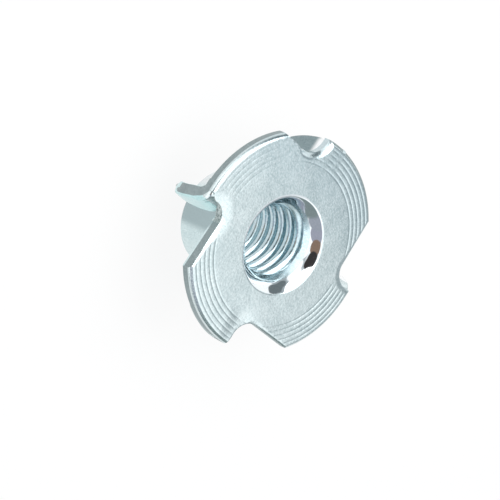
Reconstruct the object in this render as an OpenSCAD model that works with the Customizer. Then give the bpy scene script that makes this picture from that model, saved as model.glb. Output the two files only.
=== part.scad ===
// Tee nut: a threaded insert for wood, pressed from one round blank of sheet steel.
// The blank's middle is drawn into a barrel, and the prongs are sheared along chords of its
// rim and folded down beside the barrel.
// The origin is on the bore's axis, in the plane where the flange's underside meets the wood.
// +Z points out of the flange's open face; the barrel and the prongs point down.
// Millimetres throughout.

/* [Flange] */
// Diameter of the flange
flange_d = 22; // [20:0.5:26]
// Thickness of the sheet
sheet_t = 1.25; // [1:0.05:1.5]

/* [Coined rings] */
// Number of rings coined into the face along the rim
ring_count = 6; // [2:1:7]
// Distance from one ring to the next
ring_pitch = 0.5; // [0.4:0.05:0.55]
// Width of a ring at the face
ring_w = 0.26; // [0.16:0.02:0.34]
// Depth of a ring below the face
ring_depth = 0.07; // [0.04:0.01:0.12]
// Distance from the rim to the outermost ring
ring_margin = 0.22; // [0.2:0.02:0.5]

/* [Barrel] */
// Outside diameter of the barrel
barrel_d = 10.1; // [9.5:0.1:11]
// Overall height, from the flange's face to the barrel's end
height = 9.9; // [8:0.1:14]
// Chamfer outside the barrel's end
end_chamfer = 0.3; // [0.2:0.05:0.5]
// Fillet between the barrel and the flange's underside
root_fillet = 0.7; // [0.3:0.1:1]

/* [Bore] */
// Nominal diameter of the thread
thread_d = 8; // [7.5:0.1:8.5]
// Diameter of the bore inside the thread's crests
bore_d = 6.8; // [6:0.1:7]
// Radius of the drawn mouth, where the face rolls into the bore
mouth_r = 1; // [0.5:0.1:1]
// Height of the countersink at the bore's far end
exit_chamfer = 0.5; // [0.2:0.1:0.6]

/* [Prongs] */
// Number of prongs
prong_count = 4; // [2:1:6]
// Width of a prong at its root, which sets how far in from the rim the slit is sheared
prong_w = 2.95; // [2.4:0.05:3.2]
// Angle by which the slit leans outward from the fold to the rim
slit_tilt = 5; // [0:0.5:8]
// Clearance that shearing leaves along the slit, beside a folded prong
slit_gap = 0.08; // [0.04:0.01:0.2]
// How far the fold line passes behind the bore's axis
fold_back = 0.45; // [0:0.05:0.8]
// Inside radius of the fold
fold_r = 0.15; // [0.1:0.05:0.4]
// Angle through which the sheet is folded down
fold_angle = 77; // [74:1:88]
// Radius of the bow in a prong's outer face
bow_r = 14; // [12:1:60]
// Height of the bevels that sharpen a prong's tip
tip_h = 1.3; // [0.8:0.1:2]
// Radius of the fillet that is left at the slit's inner end
corner_r = 2.5; // [1.6:0.1:2.6]
// How far the underside of that fillet stands above the seat
corner_lift = 0.15; // [0.05:0.05:0.4]

/* [Hidden] */

$fn = 96;
small_fn = 32;                       // for rounds of a millimetre or so
rim_r = flange_d / 2;
barrel_r = barrel_d / 2;
bore_r = bore_d / 2;
major_r = thread_d / 2;
end_z = sheet_t - height;            // the barrel's end
lip_r = major_r + mouth_r;           // where the mouth leaves the face
lead_h = major_r - bore_r;           // 45 degree lead-in from the mouth to the thread
clear = 1;                           // how far a cutter runs past what it cuts

// A prong and its opening are drawn with the fold on the X axis, so that the rim's centre is
// fold_back beyond it. The slit runs from [slit_x, 0] to the rim.
slit_x = rim_r - prong_w;
slit_lean = tan(slit_tilt);
slit_mid = slit_x * sin(slit_tilt) - fold_back * cos(slit_tilt);  // its middle as a chord
slit_run = sqrt(rim_r * rim_r - slit_x * slit_x - fold_back * fold_back + slit_mid * slit_mid) - slit_mid;
slit_l = slit_run * cos(slit_tilt);  // how far the slit's outer end lies from the fold
corner = [slit_x + corner_r * tan(45 + slit_tilt / 2), corner_r];    // the fillet's centre
fold_out_r = fold_r + sheet_t;
fold_center = [0, -fold_r];          // seen edge-on
neutral_r = fold_r + 0.4 * sheet_t;  // the layer that keeps its length in the fold
fold_l = neutral_r * fold_angle * PI / 180;
bow_mid_r = bow_r - sheet_t / 2;
bow_angle = (slit_l - fold_l) / bow_mid_r * 180 / PI;
face_angle = 90 - fold_angle;        // how far a prong's outer face tips back at its root
tip_angle = face_angle - bow_angle;
rolled_z = fold_l - fold_r;          // where the fold line lies once the sheet is rolled down
rim_z = rolled_z - fold_back;        // where the rim's centre lies then

function polar(r, a) = [r * cos(a), r * sin(a)];

// A prong's sheet curved to a radius, between two angles, seen from its edge
module strip(r, from, to) {
    intersection() {
        difference() {
            circle(r);
            circle(r - sheet_t);
        }
        polygon([[0, 0], polar(2 * r, from), polar(2 * r, to)]);
    }
}

// Half of the section through the flange, the mouth and the barrel
module body_section() {
    difference() {
        union() {
            square([rim_r, sheet_t]);
            polygon([
                [0, 0],
                [0, end_z],
                [barrel_r - end_chamfer, end_z],
                [barrel_r, end_z + end_chamfer],
                [barrel_r, 0],
            ]);
            translate([0, -root_fillet]) difference() {
                square([barrel_r + root_fillet, root_fillet + sheet_t / 2]);
                translate([barrel_r + root_fillet, 0]) circle(root_fillet, $fn = small_fn);
            }
        }
        bore_section();
        for (i = [0 : ring_count - 1])
            translate([rim_r - ring_margin - i * ring_pitch, sheet_t])
                polygon([[-ring_w, ring_depth], [0, -ring_depth], [ring_w, ring_depth]]);
    }
}

// Half of the section through the empty bore
module bore_section() {
    translate([0, end_z - clear]) square([bore_r, height + 2 * clear]);
    polygon([
        [0, end_z - clear],
        [bore_r + exit_chamfer + clear, end_z - clear],
        [bore_r, end_z + exit_chamfer],
        [0, end_z + exit_chamfer],
    ]);
    polygon([
        [0, sheet_t - mouth_r - lead_h],
        [bore_r, sheet_t - mouth_r - lead_h],
        [major_r, sheet_t - mouth_r],
        [0, sheet_t - mouth_r],
    ]);
    translate([0, sheet_t - mouth_r]) difference() {
        square([lip_r, mouth_r + clear]);
        translate([lip_r, 0]) circle(mouth_r, $fn = small_fn);
    }
}

// Outline of the opening that a folded prong leaves
module window_outline() {
    polygon([
        [slit_x, 0],
        [slit_x + slit_lean * 2 * rim_r, 2 * rim_r],
        [2 * rim_r, 2 * rim_r],
        [2 * rim_r, 0],
    ]);
}

// What the fillet at the slit's inner end fills of that opening
module corner_outline() {
    difference() {
        polygon([
            [slit_x, 0],
            [corner.x, 0],
            corner,
            corner + polar(corner_r, 180 - slit_tilt),
        ]);
        translate(corner) circle(corner_r, $fn = small_fn);
    }
}

// The opening through the sheet, which runs on under the corner's fillet
module prong_window() {
    translate([0, 0, -clear]) {
        linear_extrude(clear + corner_lift) window_outline();
        linear_extrude(sheet_t + 2 * clear) difference() {
            window_outline();
            corner_outline();
        }
    }
}

// The bowed leg of a prong with its sharpened tip, seen edge-on
module leg_section() {
    bow_center = fold_center - polar(bow_r - fold_out_r, face_angle);
    tip = bow_center + polar(bow_mid_r, tip_angle);
    bevel = atan(sheet_t / 2 / tip_h);
    wedge_l = 2 * slit_l;
    intersection() {
        translate(bow_center) strip(bow_r, tip_angle - bow_angle, face_angle);
        polygon([
            tip,
            tip + polar(wedge_l, tip_angle + 90 - bevel),
            tip + polar(wedge_l, tip_angle + 90 + bevel),
        ]);
    }
}

// What the slit leaves empty beside a prong, facing its broad side
module beyond_slit() {
    top = sheet_t + clear;
    bottom = -slit_l - clear;
    edge_x = slit_x + slit_gap;
    polygon([
        [edge_x + slit_lean * (rolled_z - top), top],
        [edge_x + slit_lean * (rolled_z - bottom), bottom],
        [slit_x - 2 * clear, bottom],
        [slit_x - 2 * clear, top],
    ]);
}

// What the blank's rim, rolled down with a prong, leaves empty outside it
module beyond_rim() {
    difference() {
        translate([slit_x, -slit_l - clear]) square([prong_w + clear, slit_l + clear + rim_z]);
        translate([0, rim_z]) circle(rim_r);
    }
}

// Sheet of the given edge-on outline, trimmed to a prong's edges
module folded_sheet() {
    difference() {
        translate([slit_x - clear, 0, 0]) rotate([90, 0, 90])
            linear_extrude(prong_w + clear) children();
        translate([0, slit_l, 0]) rotate([90, 0, 0]) {
            linear_extrude(2 * slit_l) beyond_slit();
            linear_extrude(2 * slit_l) beyond_rim();
        }
    }
}

// One prong folded down from the flange
module prong() {
    folded_sheet() translate(fold_center) strip(fold_out_r, face_angle, 90);
    folded_sheet() leg_section();
}

// What is drawn on the X axis, placed at each prong's fold
module at_each_fold() {
    for (i = [0 : prong_count - 1]) rotate(i * 360 / prong_count) translate([0, -fold_back, 0]) children();
}

module tee_nut() {
    color("silver") {
        difference() {
            rotate_extrude() body_section();
            at_each_fold() prong_window();
        }
        at_each_fold() prong();
    }
}

tee_nut();
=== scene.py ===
import math

import bmesh
import bpy
import numpy as np
from mathutils import Matrix, Vector


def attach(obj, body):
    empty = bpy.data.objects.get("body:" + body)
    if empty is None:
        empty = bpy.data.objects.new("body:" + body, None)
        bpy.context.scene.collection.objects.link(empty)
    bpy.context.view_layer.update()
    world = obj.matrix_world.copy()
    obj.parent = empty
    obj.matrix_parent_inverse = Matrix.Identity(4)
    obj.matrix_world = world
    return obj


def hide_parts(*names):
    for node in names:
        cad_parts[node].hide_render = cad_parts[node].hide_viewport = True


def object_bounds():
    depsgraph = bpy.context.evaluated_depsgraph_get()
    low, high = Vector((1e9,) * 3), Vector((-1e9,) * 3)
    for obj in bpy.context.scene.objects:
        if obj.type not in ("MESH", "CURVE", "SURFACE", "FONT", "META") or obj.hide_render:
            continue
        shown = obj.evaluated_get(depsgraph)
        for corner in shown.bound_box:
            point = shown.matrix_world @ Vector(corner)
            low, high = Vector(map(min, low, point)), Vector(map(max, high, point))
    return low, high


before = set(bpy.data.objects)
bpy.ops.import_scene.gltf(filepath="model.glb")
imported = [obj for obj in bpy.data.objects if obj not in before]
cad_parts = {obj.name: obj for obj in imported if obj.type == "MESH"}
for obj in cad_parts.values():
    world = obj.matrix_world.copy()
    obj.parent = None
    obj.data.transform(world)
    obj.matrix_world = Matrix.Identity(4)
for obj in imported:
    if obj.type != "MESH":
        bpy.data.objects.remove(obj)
cad_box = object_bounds()
MM = 0.001


# ---- Blank: flange, drawn mouth, barrel and thread --------------------------------------
# The blank is a round of 1.25 mm sheet steel whose middle is drawn into a barrel and tapped M8.
# Rings are coined into the face along the rim, and die out where a prong is folded. Sizes are in
# millimetres until the finished mesh is scaled to metres, and angles are in degrees.
rim_r = 11
sheet_t = 1.25
end_z = sheet_t - 9.9
barrel_r = 5.05
root_fillet = 0.7
end_chamfer = 0.3
bore_r = 3.4
major_r = 4.0
thread_pitch = 1.25
thread_crest = 0.185                 # half the width of the thread's crest
exit_chamfer = 0.5
mouth_r = 4.95                       # edge of the mouth on the face
mouth_slopes = [(3.35, 64), (3.8, 59), (4.08, 51), (4.5, 43), (4.84, 37), (4.9, 20), (mouth_r, 3)]
mouth_shift = (0.13, -0.1)           # how far the mouth's edge is drawn off the axis
face_round = 0.5                     # front edge of the rim
back_round = 0.08
ring_r = [rim_r - 0.22 - 0.5 * i for i in range(6)]
ring_half_w = 0.12
ring_depth = 0.018
ring_end = [(0, 0.5), (-0.7, -0.4), (0.3, 1.6), (-0.4, -0.2)]   # where they die out before each fold
droop = 0.1                          # how far the last fold pulls the face down with it
dish = 0.0018                        # how fast the face falls away outside dish_r
dish_r = 5
fold_back = 0.45                     # how far a fold line passes behind the axis

# Some finishes are copies of one zinc painted darker or lighter, as painted shade and light.
finishes = ("face", "edge", "bore", "prong", "mouth", "back", "torn", "barrel", "painted_light_prong")
FACE, EDGE, BORE, PAINTED_SHADE_PRONG, MOUTH, PAINTED_SHADE_BACK, TORN, BARREL, PAINTED_LIGHT_PRONG = range(len(finishes))
columns = 240
turn = 2 * np.pi * np.arange(columns + 1) / columns


def smooth(low, high, x):
    """0 below low, 1 above high and an S curve between."""
    t = np.clip((np.asarray(x, float) - low) / (high - low), 0, 1)
    return t * t * (3 - 2 * t)


def arc(cx, cy, r, start, end, steps):
    """Points along an arc, angles in degrees."""
    a = np.radians(np.linspace(start, end, steps + 1))
    return [(cx + r * math.cos(t), cy + r * math.sin(t)) for t in a]


def fold_coords(x, y, k):
    """Place along and beyond the fold line of prong k."""
    a = math.radians(-90 * k)
    return x * math.cos(a) - y * math.sin(a), x * math.sin(a) + y * math.cos(a) + fold_back


def ring_groove(x, y):
    """How deep the coined rings lie below the face at a point."""
    r = np.hypot(x, y)
    depth = np.zeros_like(r)
    for centre in ring_r:
        t = np.clip(np.abs(r - centre) / ring_half_w, 0, 1)
        depth += ring_depth * (1 - smooth(0, 1, t))
    around = np.arctan2(y, x)
    worn_side = smooth(0.3, 0.9, np.cos(around - math.radians(150)))
    fresh_side = smooth(0.5, 0.95, np.cos(around + math.radians(50)))
    outermost = r > 10.55
    depth *= 1 - np.where(outermost, 1, 0.6) * worn_side + 0.4 * fresh_side
    for k in range(4):
        u, v = fold_coords(x, y, k)
        near = (u > 6) & (v > -1.7) & (v < 1)    # the strip along the fold line
        depth *= np.where(near, smooth(*ring_end[k], -v), 1)
    return depth


def fold_droop(x, y):
    """How far the face is pulled down beside the fold of the last prong."""
    u, v = fold_coords(x, y, 3)
    return droop * smooth(-1.4, 0.4, v) * smooth(2.5, 0.8, v) * smooth(6.8, 8.6, u)


def mouth_curve():
    """The drawn mouth's section from inside the bore up to the face, integrated from its slopes."""
    radii, angles = zip(*mouth_slopes)
    r = np.concatenate([np.linspace(radii[0], major_r, 14), np.linspace(major_r, mouth_r, 15)[1:]])
    slope = np.tan(np.radians(np.interp(r, radii, angles)))
    rise = np.concatenate([[0], np.cumsum((slope[1:] + slope[:-1]) / 2 * np.diff(r))])
    step = 0.003                     # what is left between the mouth's edge and the face
    return r, sheet_t - step - rise[-1] + rise


mouth_curve_r, mouth_curve_z = mouth_curve()
lead_z = float(np.interp(major_r, mouth_curve_r, mouth_curve_z))   # where the thread's root runs out


def outer_rows():
    """The section from the lead-in round the face, rim and barrel to the exit chamfer."""
    rows = [(major_r, lead_z)]
    rows += [(r, z) for r, z in zip(mouth_curve_r, mouth_curve_z) if r > major_r + 0.001]
    rows += [(r, sheet_t) for r in (5.0, 5.1, 5.6, 6.4, 7.2, 7.8, 8.05)]
    for centre in reversed(ring_r):
        across = [centre + ring_half_w * t for t in (-1, -0.66, -0.33, 0, 0.33, 0.66, 1)]
        rows += [(r, sheet_t) for r in across if r < rim_r - face_round]
    rows += arc(rim_r - face_round, sheet_t - face_round, face_round, 86, 0, 16)
    rows += [(rim_r, z) for z in (0.5, 0.25)]
    rows += arc(rim_r - back_round, back_round, back_round, 0, -90, 3)
    rows += [(r, 0) for r in (10.4, 9, 7.6, 6.4)]
    rows += arc(barrel_r + root_fillet, -root_fillet, root_fillet, 90, 180, 8)
    rows += [(barrel_r, z) for z in (-1.6, -2.8, -4, -5.2, -6.4, -7.6)]
    rows += arc(barrel_r - end_chamfer, end_z + end_chamfer, end_chamfer, 0, -90, 5)
    rows += [(r, end_z) for r in (4.5, 4.2, bore_r + exit_chamfer)]
    return np.array(rows)


def bore_radius(angle, z):
    """Radius of the right-handed thread, cut back by the chamfers at both of its ends."""
    phase = np.mod(z / thread_pitch - angle / (2 * np.pi) + 0.5, 1) - 0.5
    flank_w = (major_r - bore_r) * math.tan(math.radians(30))
    flank = (np.abs(phase) * thread_pitch - thread_crest) / flank_w
    thread = bore_r + (major_r - bore_r) * smooth(-0.12, 1.12, flank)
    lead = np.interp(z, mouth_curve_z, mouth_curve_r)
    leave = bore_r + exit_chamfer - (z - end_z)
    return np.maximum(thread, np.maximum(lead, leave))


def grid_mesh(name, grids):
    """One mesh of several grids of points, whose shared and collapsed points are merged."""
    points, quads, start = [], [], 0
    for grid in grids:
        rows, cols = grid.shape[:2]
        index = start + np.arange(rows * cols).reshape(rows, cols)
        around = [index[:-1, :-1], index[:-1, 1:], index[1:, 1:], index[1:, :-1]]
        quads.append(np.stack(around, -1).reshape(-1, 4))
        points.append(grid.reshape(-1, 3))
        start += rows * cols
    points = np.concatenate(points)
    kept, which = np.unique(np.round(points, 5), axis=0, return_inverse=True)
    faces = []
    for quad in which.ravel()[np.concatenate(quads)]:
        face = [int(p) for i, p in enumerate(quad) if p != quad[i - 1]]
        if len(set(face)) > 2:
            faces.append(face)
    mesh = bpy.data.meshes.new(name)
    mesh.from_pydata(kept.tolist(), [], faces)
    mesh.validate()
    return mesh


def finish_blank(mesh):
    """Gives each face of the blank its finish."""
    for face in mesh.polygons:
        x, y, z = face.center
        r = math.hypot(x, y)
        upright = abs(face.normal.z)
        painted_dark_side = x * 0.3 + y > 0.8 * r       # here the rim's rounding is painted dark, a painted dark reflection
        if r > rim_r - 0.01 and upright < 0.1:
            face.material_index = EDGE
        elif painted_dark_side and z > 0.6 and upright < 0.87 and r > rim_r - face_round:
            face.material_index = EDGE
        elif r < major_r + 0.01 and end_z + 0.001 < z < lead_z:
            face.material_index = BORE
        elif r < mouth_r and z > lead_z:
            face.material_index = MOUTH
        elif z < 0.2:
            # The underside is painted darker than the face, as painted shade under the flange.
            face.material_index = BARREL if r < barrel_r + root_fillet else PAINTED_SHADE_BACK


def blank_mesh():
    """The whole pressing before its prongs are cut, with the thread as rows that climb round the bore."""
    rows = outer_rows()
    x = rows[:, :1] * np.cos(turn)
    y = rows[:, :1] * np.sin(turn)
    z = np.repeat(rows[:, 1:], len(turn), axis=1)
    pressed = (z > sheet_t - face_round) & (np.hypot(x, y) > 7)
    z = np.where(pressed, z - ring_groove(x, y), z)
    z = np.where(pressed, z - fold_droop(x, y) * (z - (sheet_t - face_round)) / face_round, z)
    near_mouth = smooth(major_r, mouth_r, rows[:, :1]) * smooth(7, 5, rows[:, :1])
    drawn = np.where(rows[:, 1:] > lead_z, near_mouth, 0)
    outside = np.stack([x + mouth_shift[0] * drawn, y + mouth_shift[1] * drawn, z], -1)
    # Rows of half a thread turn from crest to root, as shares of the pitch.
    half = [0, 0.07, 0.118, 0.148, 0.185, 0.24, 0.3, 0.36, 0.4, 0.425, 0.455]
    phases = np.array([-p for p in reversed(half[1:])] + half + [0.5]) + 0.5
    turns = math.ceil((sheet_t - end_z) / thread_pitch) + 2
    first = math.floor(end_z / thread_pitch) - 1
    heights = (np.arange(first, first + turns + 1)[:, None] + phases).ravel() * thread_pitch
    z = np.clip(heights[:, None] + thread_pitch * turn / (2 * np.pi), end_z, lead_z)
    r = bore_radius(turn, z)
    inside = np.stack([r * np.cos(turn), r * np.sin(turn), z], -1)
    outside[:, -1] = outside[:, 0]
    # After one turn a row of the thread meets the start of the same row one pitch on.
    inside[:-len(phases), -1] = inside[len(phases):, 0]
    inside[-len(phases):, -1] = inside[-1, 0]
    outside[-1] = inside[0]
    mesh = grid_mesh("blank", [outside[:, ::-1], inside[:, ::-1]])
    finish_blank(mesh)
    return mesh


# ---- Openings: what the four folded prongs leave -----------------------------------------
# Each opening is sheared along a chord of the rim, so its front edge is rolled over and its
# wall is plain. At the slit's inner end a fillet of metal stays in the flange.

# x is a slit's distance from the axis. The face overhangs the fold by the ledge, which dies out
# at the flush radius. The roll-over has a width and a depth, and a width of its own at the
# corner. The dip is how far the middle of the bend sinks.
slits = [
    dict(x=8.15, tilt=3.5, fillet=1.7, ledge=0.35, flush=13, roll=(0.35, 0.13), corner_w=0.6, dip=0.12),
    dict(x=8.35, tilt=5.1, fillet=2.2, ledge=1.4, flush=13, roll=(0.1, 0.4), corner_w=0.7, dip=0),
    dict(x=8.05, tilt=4.9, fillet=1.5, ledge=0.6, flush=11, roll=(0.35, 0.13), corner_w=1.3, dip=0.22),
    dict(x=7.82, tilt=3.5, fillet=1.95, ledge=0.6, flush=13, roll=(0.3, 0.13), corner_w=0.5, dip=0.12),
]
fillet_lift = 0.15                   # how far the fillet's underside stands above the seat
past = 13                            # beyond the rim
seam = 0.013                         # keeps an opening clear of the plane of its fold


def opening_outline(slit, offset):
    """Outline of one opening, moved out by a share of its roll-over, and how many points its slit has."""
    tilt = math.radians(slit["tilt"])
    lean = math.tan(tilt)
    r = slit["fillet"]
    cv = slit["ledge"] + r
    cu = slit["x"] + lean * cv + r / math.cos(tilt)
    corner = arc(cu, cv, r, 180 - slit["tilt"], 270, 22)
    far = 9
    corner_w = slit["corner_w"]
    slit_w = slit["roll"][0]
    points = []
    for v in np.linspace(far, corner[0][1], 14)[:-1]:
        width = slit_w + (corner_w - slit_w) * float(smooth(5, cv, v))
        points.append((slit["x"] + lean * v - offset * width, v))
    slit_points = len(points)
    for u, v in corner:
        points.append((u + (u - cu) / r * offset * corner_w, v + (v - cv) / r * offset * corner_w))
    for u in np.linspace(cu, 12.4, 16)[1:]:
        fade = 1 - float(smooth(cu, slit["flush"], u))
        points.append((u, seam + slit["ledge"] * fade - offset * corner_w * fade))
    points += [(past, seam), (past, far)]
    return points, slit_points


def stacked_mesh(name, loops):
    """A closed mesh through loops of points that all have the same count."""
    count = len(loops[0])
    faces = []
    for low in range(0, (len(loops) - 1) * count, count):
        for i in range(count):
            j = (i + 1) % count
            faces.append([low + i, low + j, low + count + j, low + count + i])
    faces.append(list(range(count))[::-1])
    faces.append(list(range((len(loops) - 1) * count, len(loops) * count)))
    mesh = bpy.data.meshes.new(name)
    mesh.from_pydata([point for loop in loops for point in loop], [], faces)
    return mesh


def loft(name, levels, roll_h=0, slit_points=0, torn=(0, 0)):
    """A closed solid through outlines, each at its own height. Its walls carry the cut's finishes."""
    mesh = stacked_mesh(name, [[(x, y, z) for x, y in outline] for z, outline in levels])
    count = len(levels[0][1])
    for number, face in enumerate(mesh.polygons):
        side = number % count
        if face.center.z > sheet_t - roll_h - 0.001:
            face.material_index = FACE
        elif face.center.z < 0 and side < slit_points:
            face.material_index = BARREL
        elif side < torn[0]:
            face.material_index = EDGE
        elif side < torn[1]:
            face.material_index = TORN
        else:
            face.material_index = FACE
    return mesh


def opening_meshes(k):
    """The opening itself, and the clearance under its fillet."""
    slit = slits[k]
    wall, slit_points = opening_outline(slit, 0)
    roll_h = slit["roll"][1]
    wall_z = 0.22                    # above the clearance, so that the two cuts share no plane
    levels = [(-1, wall), (wall_z, wall)]
    for t in (0, 0.06, 0.14, 0.24, 0.36, 0.5, 0.64, 0.78, 0.9):
        levels.append((sheet_t - roll_h * (1 - t) ** 2, opening_outline(slit, t)[0]))
    face_line = opening_outline(slit, 1)[0]
    levels += [(sheet_t + 0.002, face_line), (sheet_t + 1, face_line)]
    lean = math.tan(math.radians(slit["tilt"]))
    near_v, far_v = 0.003, 8.9       # a little short of the opening's own ends
    under = [(slit["x"], near_v), (past, near_v), (past, far_v), (slit["x"] + 9 * lean, far_v)]
    torn_end = slit_points + 7 if k == 1 else len(wall) - 2
    return [
        loft("opening", levels, roll_h, slit_points, (slit_points, torn_end)),
        loft("under", [(-1.1, under), (fillet_lift, under)]),
    ]


# ---- Prongs ------------------------------------------------------------------------------
# Each prong is the segment that its slit cuts from the rim, folded down with a bow and
# sharpened by bevels from both sides. It keeps the full thickness of the sheet.
fold_r = 0.45
fold_start = -0.3                    # where the bend begins, before the fold line
fold_angle = 77
bow_r = 12
tip_h = 1.3
stretch = 1.03                       # how much longer folding makes a prong
twist = 0.3                          # how far its rim side leans in towards the barrel
gusset = 0.2                         # metal squeezed into the inside of the fold
slit_gap = 0.08                      # clearance that shearing leaves beside a prong
fold_l = (fold_r + 0.4 * sheet_t) * math.radians(fold_angle)
fold_out_r = fold_r + sheet_t
face_angle = 90 - fold_angle
bow_mid_r = bow_r - sheet_t / 2
edge_round = 0.1
tip_blunt = 0.12                     # what the bevels leave off the tip's point


def prong_length(slit):
    """Distance from the fold to the point where the slit meets the rim."""
    t = math.radians(slit["tilt"])
    middle = slit["x"] * math.sin(t) - fold_back * math.cos(t)
    run = math.sqrt(rim_r**2 - slit["x"] ** 2 - fold_back**2 + middle**2) - middle
    return run * math.cos(t)


def place(s, q):
    """Where a point of the sheet lies, seen edge-on: s from the bend's start, q out of its middle."""
    q = q * 0.999                    # a hair thin, so that no face lies in the flange's own faces
    if s < 0:
        return s + fold_start, sheet_t / 2 + q
    if s < fold_l:
        a = math.radians(90 - fold_angle * s / fold_l)
        r = fold_r + sheet_t / 2 + q
        return r * math.cos(a) + fold_start, r * math.sin(a) - fold_r
    root = math.radians(face_angle)
    inward = bow_r - fold_out_r
    a = root - (s - fold_l) / bow_mid_r
    r = bow_mid_r + q
    v = r * math.cos(a) - inward * math.cos(root) + fold_start
    z = r * math.sin(a) - inward * math.sin(root) - fold_r
    return v, z


def section_loop(low, high, half, rounds):
    """Rounded outline of a prong's cross-section, u from low to high and q from -half to half."""
    points = []
    corners = [(high, half), (low, half), (low, -half), (high, -half)]
    back_along = [(1, 0), (0, 1), (-1, 0), (0, -1)]      # from the next corner towards this one
    most = 0.48                                          # of a side, so that two roundings never meet
    rounds = [min(r, most * (high - low), most * 2 * half) for r in rounds]
    for i, (u, q) in enumerate(corners):
        r = rounds[i]
        cu = u - r if i in (0, 3) else u + r
        cq = q - r if i < 2 else q + r
        points += arc(cu, cq, r, 90 * i, 90 * i + 90, 4)
        next_u, next_q = corners[(i + 1) % 4]
        next_r = rounds[(i + 1) % 4]
        end = (next_u + next_r * back_along[i][0], next_q + next_r * back_along[i][1])
        steps = 8 if i in (0, 2) else 3
        last = points[-1]
        for step in range(1, steps):
            t = step / steps
            points.append((last[0] + (end[0] - last[0]) * t, last[1] + (end[1] - last[1]) * t))
    return points


def prong_mesh(k):
    """One folded prong as loops across it, from inside the flange to its tip."""
    slit = slits[k]
    end = prong_length(slit) - fold_start
    lean = math.tan(math.radians(slit["tilt"]))
    to_tip = np.linspace(0, 1, 13)[1:]
    stations = np.concatenate([
        [-0.7, -0.4, -0.15],
        np.linspace(0, fold_l, 15),
        fold_l + (end - tip_h - fold_l) * np.linspace(0, 1, 14)[1:],
        end - tip_h * (1 - to_tip) - tip_blunt * to_tip,
    ])
    tip_half = 0.05                          # half the tip's thickness
    tip_w = 0.06
    within_rim = 0.002
    leg_round = 0.3
    bend_round = 0.6 if k == 2 else 0.35     # how much wider the bend's rim edge is rounded
    root_dip = 0.12 if slit["dip"] else 0    # how far it starts below the face
    loops = []
    for s in stations:
        at = max(s + fold_start, 0)
        low = slit["x"] + slit_gap + lean * at
        high = max(math.sqrt(rim_r**2 - (at - fold_back) ** 2) - within_rim, low + tip_w)
        half = min(sheet_t / 2, tip_half + (sheet_t / 2 - tip_half) * (end - s) / tip_h)
        bent = math.exp(-(((s - 0.55 * fold_l) / 0.7) ** 2))
        root_share = float(smooth(2.2, 1.2, s))
        front_round = leg_round + (face_round - leg_round) * root_share + bend_round * bent
        loop = section_loop(low, high, half, [front_round, edge_round, edge_round, back_round])
        lean_in = twist * float(smooth(0.3, 3, s))
        along = s if s < fold_l else fold_l + (s - fold_l) * stretch
        sink_share = math.exp(-(((s - 0.9) / 0.5) ** 2))
        points = []
        for u, q in loop:
            outer = 0.5 + q / sheet_t
            sunk = slit["dip"] * outer * sink_share * float(smooth(10.8, 10, u))
            sunk += root_dip * outer * float(smooth(0.4, 0.1, s))
            v, z = place(along, q - gusset * bent * (1 - outer) - sunk)
            points.append((u, v - lean_in * (u - low) / (rim_r - low), z))
        loops.append(points)
    mesh = stacked_mesh("prong", loops)
    for face in mesh.polygons:
        if abs(face.normal.x) > 0.9 or face.center.z < -6:
            face.material_index = EDGE
        elif face.center.z < 0.3 or face.center.y > 0.9:
            # Below the bend the prongs take finishes painted darker or lighter, as painted shade and
            # light.
            face.material_index = (PAINTED_SHADE_PRONG, PAINTED_SHADE_PRONG, PAINTED_LIGHT_PRONG, PAINTED_SHADE_BACK)[k]
    return mesh


def placed(mesh, k):
    """An object of this mesh, set at the fold line of prong k."""
    obj = bpy.data.objects.new(mesh.name, mesh)
    quarter = Matrix.Rotation(math.radians(90 * k), 4, "Z")
    mesh.transform(quarter @ Matrix.Translation((0, -fold_back, 0)))
    bpy.context.scene.collection.objects.link(obj)
    return obj


def outward(mesh):
    """Turns a closed mesh's faces outward."""
    work = bmesh.new()
    work.from_mesh(mesh)
    bmesh.ops.recalc_face_normals(work, faces=work.faces)
    work.to_mesh(mesh)
    work.free()
    return mesh


def combine(base, tools, operation):
    """Boolean of base with each tool in turn; the tools are removed."""
    for tool in tools:
        step = base.modifiers.new("step", "BOOLEAN")
        step.operation = operation
        step.solver = "EXACT"
        step.object = tool
        evaluated = base.evaluated_get(bpy.context.evaluated_depsgraph_get())
        shaped = bpy.data.meshes.new_from_object(evaluated)
        base.modifiers.clear()
        base.data = shaped
        bpy.data.objects.remove(tool)


nut = bpy.data.objects.new("tee_nut_pressing", outward(blank_mesh()))
for finish in finishes:
    nut.data.materials.append(bpy.data.materials.new("zinc_" + finish))
bpy.context.scene.collection.objects.link(nut)
for k in range(4):
    combine(nut, [placed(outward(m), k) for m in opening_meshes(k)], "DIFFERENCE")
for k in range(4):
    combine(nut, [placed(outward(prong_mesh(k)), k)], "UNION")
for point in nut.data.vertices:
    point.co.z -= dish * max(math.hypot(point.co.x, point.co.y) - dish_r, 0) ** 2
nut.data.transform(Matrix.Scale(MM, 4))
nut.data.polygons.foreach_set("use_smooth", [True] * len(nut.data.polygons))
nut.data.set_sharp_from_angle(angle=math.radians(32))


# ---- Zinc plate --------------------------------------------------------------------------
# The pressing is electroplated after it is formed. Bright zinc is a pale blue metal: finely
# grained on the face, mirror-bright in the drawn mouth and dull where the steel was sheared.
def add_node(tree, kind, **inputs):
    """A shader node with some of its sockets set."""
    node = tree.nodes.new("ShaderNode" + kind)
    for name, value in inputs.items():
        node.inputs[name].default_value = value
    return node


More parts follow.
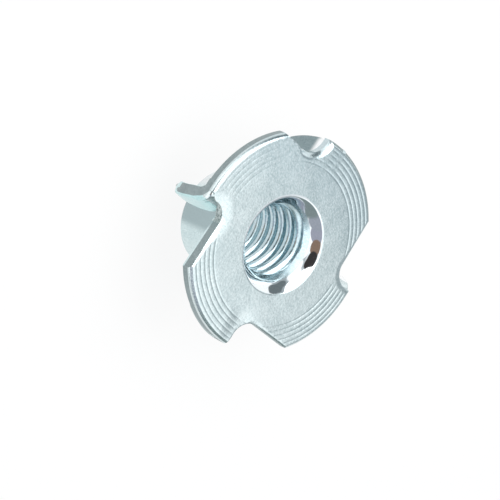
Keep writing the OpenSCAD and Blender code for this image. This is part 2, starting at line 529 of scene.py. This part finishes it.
def zinc_finish(paint, dark, pale, rough, grain_h, wave_h, metallic=1):
    """Zinc between two colours: range of roughness, and heights of its grain and waves in metres."""
    paint.use_nodes = True
    tree = paint.node_tree
    shader = tree.nodes["Principled BSDF"]
    shader.inputs["Metallic"].default_value = metallic
    place_in = tree.nodes.new("ShaderNodeTexCoord")
    grain = add_node(tree, "TexNoise", Scale=4600, Detail=3, Roughness=0.65)
    mottle = add_node(tree, "TexNoise", Scale=420, Detail=4, Roughness=0.6)
    for texture in (grain, mottle):
        tree.links.new(place_in.outputs["Object"], texture.inputs["Vector"])
    both = add_node(tree, "Mix")
    both.inputs["Factor"].default_value = 0.35
    tree.links.new(grain.outputs["Fac"], both.inputs["A"])
    tree.links.new(mottle.outputs["Fac"], both.inputs["B"])
    tint = tree.nodes.new("ShaderNodeValToRGB")
    tint.color_ramp.elements[0].position = 0.38
    tint.color_ramp.elements[0].color = (*dark, 1)
    tint.color_ramp.elements[1].position = 0.62
    tint.color_ramp.elements[1].color = (*pale, 1)
    tree.links.new(both.outputs["Result"], tint.inputs["Fac"])
    tree.links.new(tint.outputs["Color"], shader.inputs["Base Color"])
    satin = add_node(tree, "MapRange")
    satin.inputs["From Min"].default_value = 0.3
    satin.inputs["From Max"].default_value = 0.7
    satin.inputs["To Min"].default_value = rough[0]
    satin.inputs["To Max"].default_value = rough[1]
    tree.links.new(grain.outputs["Fac"], satin.inputs["Value"])
    tree.links.new(satin.outputs["Result"], shader.inputs["Roughness"])
    bump = add_node(tree, "Bump", Strength=1, Distance=grain_h)
    tree.links.new(grain.outputs["Fac"], bump.inputs["Height"])
    wave = add_node(tree, "TexNoise", Scale=330, Detail=2, Roughness=0.5)
    tree.links.new(place_in.outputs["Object"], wave.inputs["Vector"])
    waves = add_node(tree, "Bump", Strength=1, Distance=wave_h)
    tree.links.new(wave.outputs["Fac"], waves.inputs["Height"])
    tree.links.new(bump.outputs["Normal"], waves.inputs["Normal"])
    tree.links.new(waves.outputs["Normal"], shader.inputs["Normal"])


face, edge, bore, prong, mouth, painted_shade_back, torn, barrel, painted_light_prong = nut.data.materials
zinc_finish(face, (0.565, 0.66, 0.675), (0.74, 0.82, 0.83), (0.14, 0.26), 0.000013, 0.00004)
zinc_finish(edge, (0.25, 0.31, 0.32), (0.36, 0.43, 0.44), (0.35, 0.5), 0.000006, 0.00002)
zinc_finish(bore, (0.52, 0.68, 0.73), (0.72, 0.84, 0.88), (0.15, 0.26), 0.000003, 0.00001, 0.93)
# Painted shade: the prongs' finish is painted dark for the shade on their folded faces.
zinc_finish(prong, (0.22, 0.29, 0.31), (0.29, 0.37, 0.39), (0.25, 0.4), 0.000006, 0.00002)
# Painted light: one prong's finish is painted lighter and tealer than the others; the teal is its tint.
zinc_finish(painted_light_prong, (0.50, 0.74, 0.76), (0.60, 0.84, 0.85), (0.15, 0.25), 0.000004, 0.00002)
zinc_finish(mouth, (0.74, 0.79, 0.82), (0.82, 0.86, 0.88), (0.04, 0.07), 0.000001, 0.000006)
# Painted shade: the flange's underside and the last prong are painted darker.
zinc_finish(painted_shade_back, (0.42, 0.50, 0.51), (0.54, 0.62, 0.63), (0.3, 0.42), 0.000006, 0.00002)
zinc_finish(torn, (0.10, 0.15, 0.15), (0.62, 0.70, 0.70), (0.2, 0.5), 0.00003, 0.00004)
zinc_finish(barrel, (0.60, 0.74, 0.76), (0.74, 0.87, 0.88), (0.18, 0.28), 0.000003, 0.00001, 0.93)


def fade_in(paint, axis, start, end, most=1):
    """0 to most between two places along an axis of the part, in millimetres."""
    tree = paint.node_tree
    apart = tree.nodes.new("ShaderNodeSeparateXYZ")
    tree.links.new(tree.nodes["Texture Coordinate"].outputs["Object"], apart.inputs[0])
    ramp = tree.nodes.new("ShaderNodeMapRange")
    ramp.interpolation_type = "SMOOTHSTEP"
    ramp.inputs["From Min"].default_value = start * MM
    ramp.inputs["From Max"].default_value = end * MM
    ramp.inputs["To Max"].default_value = most
    tree.links.new(apart.outputs[axis], ramp.inputs["Value"])
    return ramp.outputs["Result"]


def overlay(paint, share, colour):
    """Blends another colour over a finish by this share."""
    tree = paint.node_tree
    shader = tree.nodes["Principled BSDF"]
    mixed = tree.nodes.new("ShaderNodeMix")
    mixed.data_type = "RGBA"
    mixed.inputs["B"].default_value = (*colour, 1)
    tree.links.new(shader.inputs["Base Color"].links[0].from_socket, mixed.inputs["A"])
    tree.links.new(share, mixed.inputs["Factor"])
    tree.links.new(mixed.outputs["Result"], shader.inputs["Base Color"])


# The face is painted a shade darker towards one side, as painted shade, and a painted highlight
# keeps the bend of a dark-painted prong bright.
overlay(face, fade_in(face, "Y", 0, 9, 0.3), (0.42, 0.55, 0.62))
overlay(prong, fade_in(prong, "Z", -1.1, -0.4), (0.97, 0.99, 1.0))
# Down the barrel a band of painted shade lies beside a painted highlight on the side beyond it.
painted_shade_band = barrel.node_tree.nodes.new("ShaderNodeMath")
painted_shade_band.operation = "MULTIPLY"
barrel.node_tree.links.new(fade_in(barrel, "Y", -2.9, -2.0), painted_shade_band.inputs[0])
barrel.node_tree.links.new(fade_in(barrel, "Y", 1.5, 0), painted_shade_band.inputs[1])
overlay(barrel, painted_shade_band.outputs[0], (0.40, 0.50, 0.52))
overlay(barrel, fade_in(barrel, "Y", 0.8, 2.2), (0.84, 0.89, 0.90))
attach(nut, "root")
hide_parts("tee_nut")


# ---- Floor, light and camera -------------------------------------------------------------
# The nut lies on white paper, which is nearly pure white to the eye and in reflections, and
# lights the nut only as paper does. Sizes are in metres.
floor_mesh = bpy.data.meshes.new("floor")
reach = 3
floor_z = cad_box[0].z - 0.00002     # just clear of the barrel's end
corners = [(-reach, -reach), (reach, -reach), (reach, reach), (-reach, reach)]
floor_mesh.from_pydata([(x, y, floor_z) for x, y in corners], [], [[0, 1, 2, 3]])
floor = bpy.data.objects.new("floor", floor_mesh)
bpy.context.scene.collection.objects.link(floor)
floor_paint = bpy.data.materials.new("floor_paint")
floor_paint.use_nodes = True
tree = floor_paint.node_tree
tree.nodes.remove(tree.nodes["Principled BSDF"])
chalk = add_node(tree, "BsdfDiffuse", Color=(0.9, 0.9, 0.9, 1))
white = add_node(tree, "Emission", Color=(1, 1, 1, 1), Strength=1)
rays = tree.nodes.new("ShaderNodeLightPath")
seen = tree.nodes.new("ShaderNodeMath")
seen.operation = "MAXIMUM"
tree.links.new(rays.outputs["Is Camera Ray"], seen.inputs[0])
tree.links.new(rays.outputs["Is Glossy Ray"], seen.inputs[1])
white_share = 0.88
share = add_node(tree, "Math")
share.operation = "MULTIPLY"
share.inputs[1].default_value = white_share
tree.links.new(seen.outputs[0], share.inputs[0])
blend = tree.nodes.new("ShaderNodeMixShader")
tree.links.new(share.outputs[0], blend.inputs[0])
tree.links.new(chalk.outputs[0], blend.inputs[1])
tree.links.new(white.outputs[0], blend.inputs[2])
tree.links.new(blend.outputs[0], tree.nodes["Material Output"].inputs["Surface"])
floor_mesh.materials.append(floor_paint)

world = bpy.data.worlds.new("studio")
world.use_nodes = True
tree = world.node_tree
sky = tree.nodes["Background"]
toward = tree.nodes.new("ShaderNodeTexCoord")
room_grey = (0.42, 0.46, 0.48)


def sky_patch(under, direction, fade, colour):
    """Blends a soft round patch of another colour over what lies under it, between two cosines."""
    aim = add_node(tree, "VectorMath")
    aim.operation = "DOT_PRODUCT"
    aim.inputs[1].default_value = Vector(direction).normalized()
    tree.links.new(toward.outputs["Generated"], aim.inputs[0])
    mask = tree.nodes.new("ShaderNodeMapRange")
    mask.interpolation_type = "SMOOTHSTEP"
    mask.inputs["From Min"].default_value = fade[0]
    mask.inputs["From Max"].default_value = fade[1]
    tree.links.new(aim.outputs["Value"], mask.inputs["Value"])
    mixed = tree.nodes.new("ShaderNodeMix")
    mixed.data_type = "RGBA"
    tree.links.new(mask.outputs["Result"], mixed.inputs["Factor"])
    if under is None:
        mixed.inputs["A"].default_value = (*room_grey, 1)
    else:
        tree.links.new(under, mixed.inputs["A"])
    mixed.inputs["B"].default_value = (*colour, 1)
    return mixed.outputs["Result"]


# What surrounds the nut and shows in its mouth, each patch over the ones before it.
dark_patch = (0.18, 0.21, 0.22)
black_patch = (0.05, 0.045, 0.045)
patches = [
    ((-0.03, -0.42, 0.90), (0.45, 0.76), (1.35, 1.37, 1.38)),
    ((0.93, 0.3, 0.1), (0.8, 0.93), (0.46, 0.50, 0.52)),
    ((-0.93, -0.2, 0.3), (0.94, 0.965), (1.5, 1.5, 1.5)),
    ((-0.82, 0.46, 0.3), (0.90, 0.95), (1.5, 1.5, 1.5)),
    ((-0.54, 0.64, 0.54), (0.93, 0.97), (1.4, 1.4, 1.4)),
    ((-0.68, -0.68, 0.25), (0.91, 0.94), (1.5, 1.5, 1.5)),
    ((0.58, 0.79, 0.17), (0.90, 0.95), (1.2, 1.2, 1.2)),
    ((-0.31, -0.68, 0.64), (0.945, 0.96), (0.42, 0.42, 0.50)),
    ((0.03, -0.84, 0.52), (0.94, 0.96), (0.40, 0.42, 0.48)),
    ((0.54, -0.81, 0.22), (0.85, 0.93), (0.25, 0.30, 0.30)),
    ((-0.05, 0.90, 0.43), (0.983, 0.988), dark_patch),
    ((0.12, 0.89, 0.43), (0.983, 0.988), dark_patch),
    ((0.28, 0.88, 0.38), (0.983, 0.988), dark_patch),
    ((-0.54, -0.36, 0.76), (0.968, 0.976), (0.30, 0.20, 0.15)),
    ((-0.59, -0.05, 0.805), (0.976, 0.983), black_patch),
    ((-0.59, 0.10, 0.80), (0.976, 0.983), black_patch),
]
colour = None
for direction, fade, shade in patches:
    colour = sky_patch(colour, direction, fade, shade)
tree.links.new(colour, sky.inputs["Color"])
sky.inputs["Strength"].default_value = 1
bpy.context.scene.world = world

softbox = bpy.data.objects.new("softbox", bpy.data.lights.new("softbox", "AREA"))
softbox.data.shape = "DISK"
softbox.data.size = 0.119
softbox.data.energy = 0.07
softbox.location = (-0.0084, 0.0502, 0.1082)
softbox.rotation_mode = "QUATERNION"
softbox.rotation_quaternion = Vector(softbox.location).to_track_quat("Z", "Y")
bpy.context.scene.collection.objects.link(softbox)

camera = bpy.data.objects.new("camera", bpy.data.cameras.new("camera"))
camera.data.lens = 181.7
camera.data.sensor_width = 36
camera.data.clip_start = 0.01
camera.data.clip_end = 10
right = Vector((0.6229, 0.4866, 0.6125))
up = Vector((-0.4138, 0.8695, -0.2699))
back = right.cross(up)
camera.matrix_world = Matrix((
    (right.x, up.x, back.x, -161.9 * MM),
    (right.y, up.y, back.y, -22.6 * MM),
    (right.z, up.z, back.z, 178.65 * MM),
    (0, 0, 0, 1),
))
bpy.context.scene.collection.objects.link(camera)
bpy.context.scene.camera = camera
bpy.context.scene.view_settings.view_transform = "Standard"
